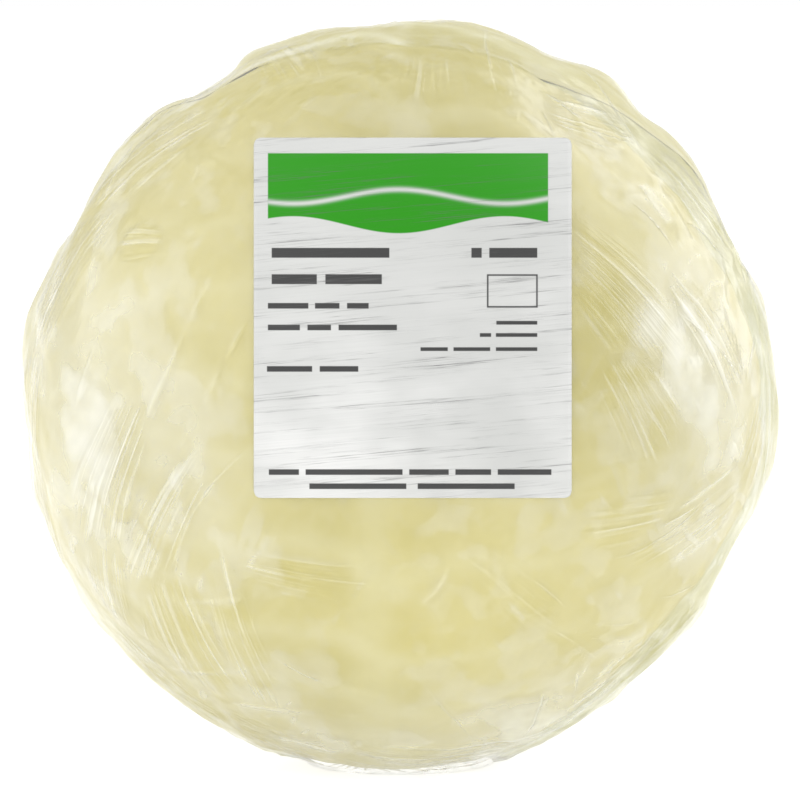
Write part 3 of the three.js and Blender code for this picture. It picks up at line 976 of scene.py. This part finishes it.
def film_piece(looks):
    """The film: bridges between high spots, with creases, open at its gather."""
    columns, rows = looks.film_columns, looks.film_columns // 2
    rim = math.degrees(FLAT_ANGLE) - 90
    turns = np.arange(columns) * 360 / columns
    climbs = np.linspace(90 - 180 / rows, rim, rows)
    way = direction(turns[None, :], climbs[:, None])
    content = outermost_radius(way)
    outline = wrap_radius(way)
    content = np.minimum(content + 0.12 * MM, outline)
    film = outline + drawn_tight(content - outline, 200, 0.002 * MM)
    off, width, share, ridge = crease_field(way)
    pleat_across, pleat_along, pleat_share = pleat_field(way)
    covered = on_label(way)
    crumple = np.zeros(way.shape[:-1])
    for turn, climb, spread, strength in CRUMPLES:
        apart = (2 - 2 * way @ direction(turn, climb)) / math.radians(spread) ** 2
        crumple = np.maximum(crumple, strength * np.exp(-apart))
    folds = 1 - np.abs(swell(way, 22 * MM, 52))
    small_folds = 1 - np.abs(swell(way, 12 * MM, 53))
    tiny_folds = 1 - np.abs(swell(way, 7 * MM, 54))
    slack = crumple * (0.8 * np.maximum(folds, 0) ** 2 + 0.4 * np.maximum(small_folds, 0) ** 2)
    slack += 0.14 * crumple * np.maximum(tiny_folds, 0) ** 2
    loose = 0.06 * swell(way, 7 * MM, 50) + 0.04 * swell(way, 4 * MM, 51)
    lift = (ridge + slack + np.abs(loose)) * (1 - covered)
    gap = (film - content) / MM + lift
    film = np.minimum(film + lift * MM, outline + 0.5 * MM * (1 - covered))
    film = flattened(way, film, CENTRE_HEIGHT)
    flat_rings = np.linspace(FLAT_RADIUS, OPENING_RADIUS, 9)[1:]
    inner_climbs = np.degrees(np.arctan(flat_rings / CENTRE_HEIGHT)) - 90
    flat_way = direction(turns[None, :], inner_climbs[:, None])
    flat = flattened(flat_way, np.full(flat_way.shape[:2], WRAP_RADIUS), CENTRE_HEIGHT)
    outside = (way * film[..., None]).reshape(-1, 3)
    underside = (flat_way * flat[..., None]).reshape(-1, 3)
    points = np.concatenate([outside, underside])
    top = np.array([[0, 0, film[0].mean()]])
    points = np.concatenate([points, top])
    total_rows = rows + len(inner_climbs)
    quads = grid_faces(total_rows, columns, closed=True, flip=True)
    crown = len(points) - 1
    cap = [(crown, i, (i + 1) % columns) for i in range(columns)]
    piece = make_piece("film_wrap_skin", points, quads, cap)

    def per_point(values, low, peak):
        below = np.full(flat_way.shape[:2], low)
        return np.concatenate([values.ravel(), below.ravel(), [peak]])

    add_attribute(piece, "gap", per_point(gap, 0.5, gap[0].mean()))
    layers = np.zeros(way.shape[:-1])
    for turn, climb, spread, share_here in FILM_HAZE_AND_SHADE:
        apart = (2 - 2 * way @ direction(turn, climb)) / math.radians(spread) ** 2
        layers += share_here * np.exp(-apart)
    add_attribute(piece, "layers", per_point(layers, 0.2, 0.1))
    whitened = crumple * (0.5 + 1.3 * np.maximum(small_folds, 0) ** 3) * (1 - covered)
    add_attribute(piece, "crumple", per_point(whitened, 0.8, 0))
    cloud = 0.75 * swell(way, 26 * MM, 55) + 0.5 * swell(way, 11 * MM, 56) + 0.25 * swell(way, 5 * MM, 57)
    to_right = smoothstep(way[..., 0], -0.25, 0.35)
    left_group = (0.35 + 0.65 * (1 - to_right)) * smoothstep(swell(way, 22 * MM, 58), 0.0, 1.3)
    right_group = (0.2 + 0.8 * to_right) * smoothstep(swell(way, 20 * MM, 59), 0.0, 1.3)
    mottle = [per_point(cloud, 0, 0), per_point(left_group, 0, 0), per_point(right_group, 0, 0)]
    add_attribute(piece, "mottle", np.stack(mottle, -1), "FLOAT_VECTOR")
    crease = [per_point(off, 9, 9), per_point(width, 1, 1), per_point(share * (1 - covered), 0, 0)]
    add_attribute(piece, "crease", np.stack(crease, -1), "FLOAT_VECTOR")
    shown = pleat_share * (1 - covered)
    pleat = [per_point(pleat_across, 0, 0), per_point(pleat_along, 0, 0), per_point(shown, 0, 0)]
    add_attribute(piece, "pleat", np.stack(pleat, -1), "FLOAT_VECTOR")
    return piece


def leaf_piece(order, looks):
    """One wrapper leaf as a closed sheet with its veins raised."""
    leaf = LEAVES[order]
    shares = leaf_row(np.linspace(0, 1, looks.leaf_rows))
    acrosses = np.linspace(-1, 1, int(looks.leaf_rows * 0.9))
    along, across = np.meshgrid(shares, acrosses, indexing="ij")
    way = leaf_direction(leaf, along, across)
    outer = layer_radius(way, order)
    margin = np.maximum(np.abs(across), np.abs(2 * along - 1))
    inner = outer - LEAF_THICKNESS
    # The margin thins down on to the leaf below, so that no dark gap opens under it
    outer = outer - 0.72 * LEAF_THICKNESS * smoothstep(margin, 0.93, 1.0)
    piece = sheet_piece(leaf.name + "_blade", way * outer[..., None], way * inner[..., None])
    relief = leaf_relief(leaf, way) / MM
    vein = leaf_vein(leaf, way)
    # How deep the leaf dips at each point, which sets the painted shade in its hollows
    hollow = smoothstep(-relief, 0.2, 1.0)
    add_attribute(piece, "vein", np.tile(vein.ravel(), 2))
    add_attribute(piece, "hollow", np.tile(hollow.ravel(), 2))
    return piece


def head_piece(looks):
    """The tight ball of inner leaves, closed at both poles."""
    columns, rows = looks.head_columns, looks.head_columns // 2
    turns = np.arange(columns) * 360 / columns
    climbs = 90 - 180 * (np.arange(rows) + 1) / (rows + 1)
    way = direction(turns[None, :], climbs[:, None])
    radius = layer_radius(way, len(LEAVES))
    floor = CENTRE_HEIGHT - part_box("stem_stub")[1].z - 0.3 * MM
    down = np.maximum(-way[..., 2], 1e-6)
    radius = np.where(way[..., 2] < 0, np.minimum(radius, floor / down), radius)
    points = (way * radius[..., None]).reshape(-1, 3)
    points = np.concatenate([points, [[0, 0, radius[0].mean()], [0, 0, -floor]]])
    crown, base = len(points) - 2, len(points) - 1
    last = (rows - 1) * columns
    caps = [(crown, i, (i + 1) % columns) for i in range(columns)]
    caps += [(base, last + (i + 1) % columns, last + i) for i in range(columns)]
    piece = make_piece("head_ball", points, grid_faces(rows, columns, closed=True, flip=True), caps)
    add_attribute(piece, "vein", np.zeros(len(points)))
    add_attribute(piece, "hollow", np.zeros(len(points)))
    return piece


def label_piece(looks):
    """The label, a thin closed sheet that follows the film, with its own UV map."""
    rows, columns = 88, 76
    half = (LABEL_HIGH - LABEL_LOW) / 2
    corner = [-half, -half + 0.12 * LABEL_CORNER, -half + 0.4 * LABEL_CORNER]
    straight = np.linspace(-half + LABEL_CORNER, half - LABEL_CORNER, rows)
    heights = np.concatenate([corner, straight, [-h for h in reversed(corner)]])
    into = np.maximum(0, np.abs(heights) - (half - LABEL_CORNER))
    half_widths = LABEL_WIDTH / 2 - LABEL_CORNER + np.sqrt(np.maximum(0, LABEL_CORNER**2 - into**2))
    shares = np.linspace(-1, 1, columns)
    lean = math.radians(LABEL_LEAN)
    up = np.array([0, math.sin(lean), math.cos(lean)])
    out = np.array([0, -math.cos(lean), math.sin(lean)])
    sideways = half_widths[:, None] * shares[None, :]
    height = np.broadcast_to(heights[:, None], sideways.shape)
    place = (LABEL_SHIFT + sideways)[..., None] * np.array([1.0, 0, 0])
    place = place + (height + (LABEL_HIGH + LABEL_LOW) / 2)[..., None] * up

    def laid(lift):
        forward = np.full(sideways.shape, WRAP_RADIUS)
        for _ in range(8):
            flat = place * ((LABEL_VIEW - forward) / (LABEL_VIEW - WRAP_RADIUS))[..., None]
            point = flat + forward[..., None] * out
            way = point / np.linalg.norm(point, axis=-1, keepdims=True)
            reach = wrap_radius(way) + lift + 0.04 * MM * swell(way, 30 * MM, 70)
            forward = np.sqrt(reach**2 - (flat**2).sum(-1))
        return flat + forward[..., None] * out

    piece = sheet_piece("label_paper", laid(0.26 * MM), laid(0.10 * MM))
    u = (sideways / LABEL_WIDTH + 0.5).ravel()
    v = (height / (2 * half) + 0.5).ravel()
    places = np.tile(np.stack([u, v], -1), (2, 1))
    layer = piece.data.uv_layers.new(name="label")
    corners = np.empty(len(piece.data.loops), int)
    piece.data.loops.foreach_get("vertex_index", corners)
    layer.data.foreach_set("uv", places[corners].astype(np.float32).ravel())
    return piece


def stem_piece(looks):
    """The cut stem end: a short bevelled plug with a slightly rough face."""
    low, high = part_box("stem_stub")
    radius = (high.x - low.x) / 2
    columns, rings = 96, 22
    angle = np.arange(columns) * 2 * math.pi / columns
    outline = 1 + 0.018 * np.sin(3 * angle + 0.4) + 0.012 * np.sin(7 * angle)
    profile = [(share * radius * 0.86, 0.0) for share in np.linspace(0.06, 1, rings)]
    profile += [(radius * 0.915, 0.0006), (radius * 0.94, 0.0018), (radius * 0.965, 0.0040)]
    profile.append((radius * 0.98, high.z - low.z))
    rows = []
    for number, (reach, lift) in enumerate(profile):
        rough = 0.00018 * np.sin(9 * angle + number) * (lift == 0)
        rows.append(np.stack([
            np.cos(angle) * reach * outline,
            np.sin(angle) * reach * outline,
            np.full(columns, low.z + lift + 0.0002) + rough - CENTRE_HEIGHT,
        ], -1))
    points = np.concatenate(rows)
    points = np.concatenate([points, [[0, 0, low.z + 0.0002 - CENTRE_HEIGHT], [0, 0, high.z - CENTRE_HEIGHT]]])
    foot, top = len(points) - 2, len(points) - 1
    last = (len(profile) - 1) * columns
    caps = [(foot, (i + 1) % columns, i) for i in range(columns)]
    caps += [(top, last + i, last + (i + 1) % columns) for i in range(columns)]
    return make_piece("stem_stub_cut", points, grid_faces(len(profile), columns, closed=True), caps)


# ---------------------------------------------------------------- repeated pieces by nodes


def repeat_tree(name, material):
    """Geometry Nodes that repeat a small fold round a ring, each turned and stretched at random."""
    tree = bpy.data.node_groups.new(name, "GeometryNodeTree")
    tree.interface.new_socket("Geometry", in_out="OUTPUT", socket_type="NodeSocketGeometry")
    for label, kind, default in (
        ("Count", "NodeSocketInt", 30),
        ("Ring Radius", "NodeSocketFloat", 0.012),
        ("Length", "NodeSocketFloat", 0.008),
        ("Breadth", "NodeSocketFloat", 0.0006),
        ("Seed", "NodeSocketInt", 3),
    ):
        socket = tree.interface.new_socket(label, in_out="INPUT", socket_type=kind)
        socket.default_value = default
    nodes, links = tree.nodes, tree.links
    start = nodes.new("NodeGroupInput")
    ring = nodes.new("GeometryNodeMeshCircle")
    links.new(start.outputs["Count"], ring.inputs["Vertices"])
    links.new(start.outputs["Ring Radius"], ring.inputs["Radius"])
    fold = nodes.new("GeometryNodeMeshIcoSphere")
    fold.inputs["Radius"].default_value = 1.0
    fold.inputs["Subdivisions"].default_value = 2
    index = nodes.new("GeometryNodeInputIndex")
    count_up = nodes.new("ShaderNodeMath")
    count_up.operation = "DIVIDE"
    links.new(index.outputs[0], count_up.inputs[0])
    links.new(start.outputs["Count"], count_up.inputs[1])
    turn = nodes.new("ShaderNodeMath")
    turn.operation = "MULTIPLY"
    turn.inputs[1].default_value = 2 * math.pi
    links.new(count_up.outputs[0], turn.inputs[0])
    skew = nodes.new("FunctionNodeRandomValue")
    skew.data_type = "FLOAT"
    skew.inputs["Min"].default_value = 0.35
    skew.inputs["Max"].default_value = 0.95
    links.new(start.outputs["Seed"], skew.inputs["Seed"])
    lean = nodes.new("ShaderNodeMath")
    lean.operation = "ADD"
    links.new(turn.outputs[0], lean.inputs[0])
    links.new(skew.outputs[1], lean.inputs[1])
    rotation = nodes.new("ShaderNodeCombineXYZ")
    links.new(lean.outputs[0], rotation.inputs["Z"])
    stretch = nodes.new("FunctionNodeRandomValue")
    stretch.data_type = "FLOAT"
    stretch.inputs["Min"].default_value = 0.5
    stretch.inputs["Max"].default_value = 1.1
    links.new(start.outputs["Seed"], stretch.inputs["Seed"])
    length = nodes.new("ShaderNodeMath")
    length.operation = "MULTIPLY"
    links.new(stretch.outputs[1], length.inputs[0])
    links.new(start.outputs["Length"], length.inputs[1])
    size = nodes.new("ShaderNodeCombineXYZ")
    links.new(length.outputs[0], size.inputs["X"])
    links.new(start.outputs["Breadth"], size.inputs["Y"])
    size.inputs["Z"].default_value = 0.00012
    place = nodes.new("GeometryNodeInstanceOnPoints")
    links.new(ring.outputs["Mesh"], place.inputs["Points"])
    links.new(fold.outputs["Mesh"], place.inputs["Instance"])
    links.new(rotation.outputs[0], place.inputs["Rotation"])
    links.new(size.outputs[0], place.inputs["Scale"])
    real = nodes.new("GeometryNodeRealizeInstances")
    links.new(place.outputs[0], real.inputs[0])
    paint = nodes.new("GeometryNodeSetMaterial")
    paint.inputs["Material"].default_value = material
    links.new(real.outputs[0], paint.inputs["Geometry"])
    end = nodes.new("NodeGroupOutput")
    links.new(paint.outputs[0], end.inputs[0])
    return tree


def repeated_piece(name, material, height, settings):
    """A plain mesh of folds or fibre ends round a ring at a height above the floor."""
    carrier = bpy.data.objects.new(name + "_maker", bpy.data.meshes.new(name + "_maker"))
    bpy.context.scene.collection.objects.link(carrier)
    modifier = carrier.modifiers.new("repeat", "NODES")
    modifier.node_group = repeat_tree(name + " layout", material)
    for item in modifier.node_group.interface.items_tree:
        if item.in_out == "INPUT" and item.name in settings:
            modifier[item.identifier] = settings[item.name]
    depsgraph = bpy.context.evaluated_depsgraph_get()
    mesh = bpy.data.meshes.new_from_object(carrier.evaluated_get(depsgraph))
    bpy.data.objects.remove(carrier)
    for vertex in mesh.vertices:
        vertex.co.z += height
    mesh.polygons.foreach_set("use_smooth", [True] * len(mesh.polygons))
    mesh.update()
    piece = bpy.data.objects.new(name, mesh)
    bpy.context.scene.collection.objects.link(piece)
    return piece


# ---------------------------------------------------------------- settings


class CabbageLooks(bpy.types.PropertyGroup):
    """Sizes and colours that a user would change."""

    leaf_rows: IntProperty(
        name="Leaf rows",
        description="Mesh rows up each wrapper leaf",
        default=130,
        min=20,
    )
    head_columns: IntProperty(
        name="Head columns",
        description="Mesh columns round the head",
        default=240,
        min=24,
    )
    film_columns: IntProperty(
        name="Film columns",
        description="Mesh columns round the film",
        default=436,
        min=48,
    )
    leaf_colour: FloatVectorProperty(
        name="Leaf",
        description="Main leaf colour",
        subtype="COLOR",
        default=(0.61, 0.545, 0.195),
    )
    # Deeper yellow of the blotches, also the colour of the painted shade in the hollows
    leaf_deep_and_shade: FloatVectorProperty(
        name="Leaf hollows",
        description="Deeper yellow of hollows",
        subtype="COLOR",
        default=(0.53, 0.468, 0.125),
    )
    leaf_pale: FloatVectorProperty(
        name="Leaf flecks",
        description="Pale flecks and the net of fine veins",
        subtype="COLOR",
        default=(0.71, 0.665, 0.42),
    )
    leaf_vein: FloatVectorProperty(
        name="Leaf veins",
        description="Colour of ribs",
        subtype="COLOR",
        default=(0.76, 0.74, 0.54),
    )
    leaf_green: FloatVectorProperty(
        name="Leaf green",
        description="Green tint of outer leaves",
        subtype="COLOR",
        default=(0.42, 0.43, 0.20),
    )
    leaf_speck: FloatVectorProperty(
        name="Leaf specks",
        description="Tiny brown specks",
        subtype="COLOR",
        default=(0.30, 0.20, 0.08),
    )
    pith: FloatVectorProperty(
        name="Pith",
        description="Middle of the cut stem",
        subtype="COLOR",
        default=(0.70, 0.66, 0.42),
    )
    stem_ring: FloatVectorProperty(
        name="Stem ring",
        description="Fibrous ring of the stem",
        subtype="COLOR",
        default=(0.60, 0.55, 0.30),
    )
    stem_rim: FloatVectorProperty(
        name="Stem rim",
        description="Dried rim of the stem",
        subtype="COLOR",
        default=(0.42, 0.33, 0.16),
    )
    film_haze: FloatProperty(
        name="Film haze",
        description="Least milkiness of the film",
        default=0.04,
        min=0,
        max=1,
    )
    film_roughness: FloatProperty(
        name="Film roughness",
        description="Roughness of the film's shine",
        default=0.16,
        min=0,
        max=1,
    )
    film_white: FloatVectorProperty(
        name="Film haze colour",
        description="Colour of the film's haze",
        subtype="COLOR",
        default=(0.93, 0.94, 0.90),
    )
    film_tint: FloatVectorProperty(
        name="Film tint",
        description="Tint of what shows through",
        subtype="COLOR",
        default=(0.985, 0.985, 0.98),
    )
    paper: FloatVectorProperty(
        name="Paper",
        description="Label ground",
        subtype="COLOR",
        default=(0.64, 0.64, 0.628),
    )
    # Darker boards of the label, also the colour of the painted shade towards its top
    paper_board_and_shade: FloatVectorProperty(
        name="Paper shade",
        description="Darker boards of the label",
        subtype="COLOR",
        default=(0.48, 0.485, 0.472),
    )
    grain: FloatVectorProperty(
        name="Grain",
        description="Dark wood grain of the label",
        subtype="COLOR",
        default=(0.10, 0.10, 0.10),
    )
    header: FloatVectorProperty(
        name="Header",
        description="Green header band",
        subtype="COLOR",
        default=(0.02, 0.235, 0.006),
    )
    ink: FloatVectorProperty(
        name="Ink",
        description="Printed bars",
        subtype="COLOR",
        default=(0.03, 0.03, 0.03),
    )
    floor_colour: FloatVectorProperty(
        name="Floor",
        description="Plain floor",
        subtype="COLOR",
        default=(0.6, 0.6, 0.6),
    )
    floor_glow: FloatProperty(
        name="Floor glow",
        description="Light from below, as on a light table",
        default=0.72,
        min=0,
    )
    camera_distance: FloatProperty(
        name="Camera distance",
        description="From the head's middle",
        default=1.5,
        unit="LENGTH",
    )
    camera_height: FloatProperty(
        name="Camera elevation",
        description="Angle above level",
        default=math.radians(5),
        unit="ROTATION",
    )
    camera_lens: FloatProperty(
        name="Camera lens",
        description="Focal length in millimetres",
        default=300,
    )


def looks_of(context):
    return context.scene.cabbage_looks


# ---------------------------------------------------------------- operators


class CABBAGE_OT_head(bpy.types.Operator):
    """Make the tight ball of inner leaves"""

    bl_idname = "cabbage.head"
    bl_label = "Head"

    def execute(self, context):
        looks = looks_of(context)
        material = leaf_material("inner leaf", looks, 0.1, 9.0)
        finish_piece(head_piece(looks), material, "leaf", "head")
        return {"FINISHED"}


class CABBAGE_OT_stem(bpy.types.Operator):
    """Make the cut stem end with its ring of fibre ends"""

    bl_idname = "cabbage.stem"
    bl_label = "Stem"

    def execute(self, context):
        material = stem_material(looks_of(context))
        finish_piece(stem_piece(looks_of(context)), material, "stem", "stem_stub")
        settings = {"Count": 44, "Ring Radius": 0.0125, "Length": 0.0009, "Breadth": 0.00045, "Seed": 5}
        fibres = repeated_piece("stem_fibre_ends", material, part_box("stem_stub")[0].z + 0.0002, settings)
        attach(fibres, "root")
        return {"FINISHED"}


class CABBAGE_OT_leaves(bpy.types.Operator):
    """Make the wrapper leaves"""

    bl_idname = "cabbage.leaves"
    bl_label = "Wrapper leaves"

    def execute(self, context):
        looks = looks_of(context)
        for order, leaf in enumerate(LEAVES):
            material = leaf_material(leaf.name.replace("_", " "), looks, leaf.green, float(order))
            finish_piece(leaf_piece(order, looks), material, "leaf", leaf.name)
        return {"FINISHED"}


class CABBAGE_OT_film(bpy.types.Operator):
    """Make the stretch film and the pleats where it is gathered under the stem"""

    bl_idname = "cabbage.film"
    bl_label = "Film wrap"

    def execute(self, context):
        looks = looks_of(context)
        material = film_material(looks)
        finish_piece(film_piece(looks), material, "film", "film_wrap")
        settings = {"Count": 34, "Ring Radius": 0.0125, "Length": 0.0075, "Breadth": 0.0005, "Seed": 3}
        pleats = repeated_piece("film_gather_pleats", material, 0.0002, settings)
        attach(pleats, "root")
        return {"FINISHED"}


class CABBAGE_OT_label(bpy.types.Operator):
    """Make the paper label"""

    bl_idname = "cabbage.label"
    bl_label = "Label"

    def execute(self, context):
        looks = looks_of(context)
        finish_piece(label_piece(looks), label_material(looks), "label", "label")
        return {"FINISHED"}


class CABBAGE_OT_stage(bpy.types.Operator):
    """Set the floor, the soft lights and the camera"""

    bl_idname = "cabbage.stage"
    bl_label = "Stage"

    def execute(self, context):
        looks = looks_of(context)
        scene = context.scene
        middle = Vector((0, 0, CENTRE_HEIGHT))
        floor = bpy.data.meshes.new("floor")
        reach = 6.0
        corners = [(-reach, -reach, 0), (reach, -reach, 0), (reach, reach, 0), (-reach, reach, 0)]
        floor.from_pydata(corners, [], [(0, 1, 2, 3)])
        ground = bpy.data.objects.new("floor", floor)
        scene.collection.objects.link(ground)
        floor.materials.append(plain_material("pale floor", looks.floor_colour, 0.9, looks.floor_glow))
        for name, place, size, power in (
            ("left softbox", (-1.18, -0.2, 0.7), (2.0, 1.3), 7.8),
            ("right softbox", (1.11, 0.45, 0.7), (1.5, 1.3), 10),
            ("low front fill", (0, -1.9, 0.16), (3.0, 0.3), 3.5),
            ("top softbox", (0, 0.2, 1.7), (2.2, 1.6), 9),
        ):
            lamp = bpy.data.lights.new(name, "AREA")
            lamp.shape = "RECTANGLE"
            lamp.size, lamp.size_y = size
            lamp.energy = power
            holder = bpy.data.objects.new(name, lamp)
            holder.location = place
            holder.rotation_euler = (middle - holder.location).to_track_quat("-Z", "Y").to_euler()
            scene.collection.objects.link(holder)
        world = bpy.data.worlds.new("studio")
        world.use_nodes = True
        world.node_tree.nodes["Background"].inputs["Color"].default_value = (1, 1, 1, 1)
        world.node_tree.nodes["Background"].inputs["Strength"].default_value = 1.0
        scene.world = world
        scene.view_settings.view_transform = "Standard"
        lens = bpy.data.cameras.new("camera")
        lens.lens = looks.camera_lens
        lens.clip_end = 50
        camera = bpy.data.objects.new("camera", lens)
        level = math.cos(looks.camera_height) * looks.camera_distance
        lift = math.sin(looks.camera_height) * looks.camera_distance
        camera.location = middle + Vector((0, -level, lift))
        camera.rotation_euler = (middle - camera.location).to_track_quat("-Z", "Y").to_euler()
        scene.collection.objects.link(camera)
        scene.camera = camera
        return {"FINISHED"}


class CABBAGE_PT_panel(bpy.types.Panel):
    """Buttons for each piece"""

    bl_idname = "CABBAGE_PT_panel"
    bl_label = "White Cabbage"
    bl_space_type = "VIEW_3D"
    bl_region_type = "UI"
    bl_category = "Cabbage"

    def draw(self, context):
        for step in STEPS:
            self.layout.operator(step.bl_idname)
        looks = looks_of(context)
        for name in CabbageLooks.__annotations__:
            self.layout.prop(looks, name)


STEPS = (
    CABBAGE_OT_stage,
    CABBAGE_OT_head,
    CABBAGE_OT_stem,
    CABBAGE_OT_leaves,
    CABBAGE_OT_film,
    CABBAGE_OT_label,
)
CLASSES = (CabbageLooks, *STEPS, CABBAGE_PT_panel)


def register():
    for item in CLASSES:
        bpy.utils.register_class(item)
    bpy.types.Scene.cabbage_looks = PointerProperty(type=CabbageLooks)


def unregister():
    del bpy.types.Scene.cabbage_looks
    for item in reversed(CLASSES):
        bpy.utils.unregister_class(item)


def main():
    register()
    bpy.ops.cabbage.stage()
    bpy.ops.cabbage.head()
    bpy.ops.cabbage.stem()
    bpy.ops.cabbage.leaves()
    bpy.ops.cabbage.film()
    bpy.ops.cabbage.label()


if __name__ == "__main__":
    main()
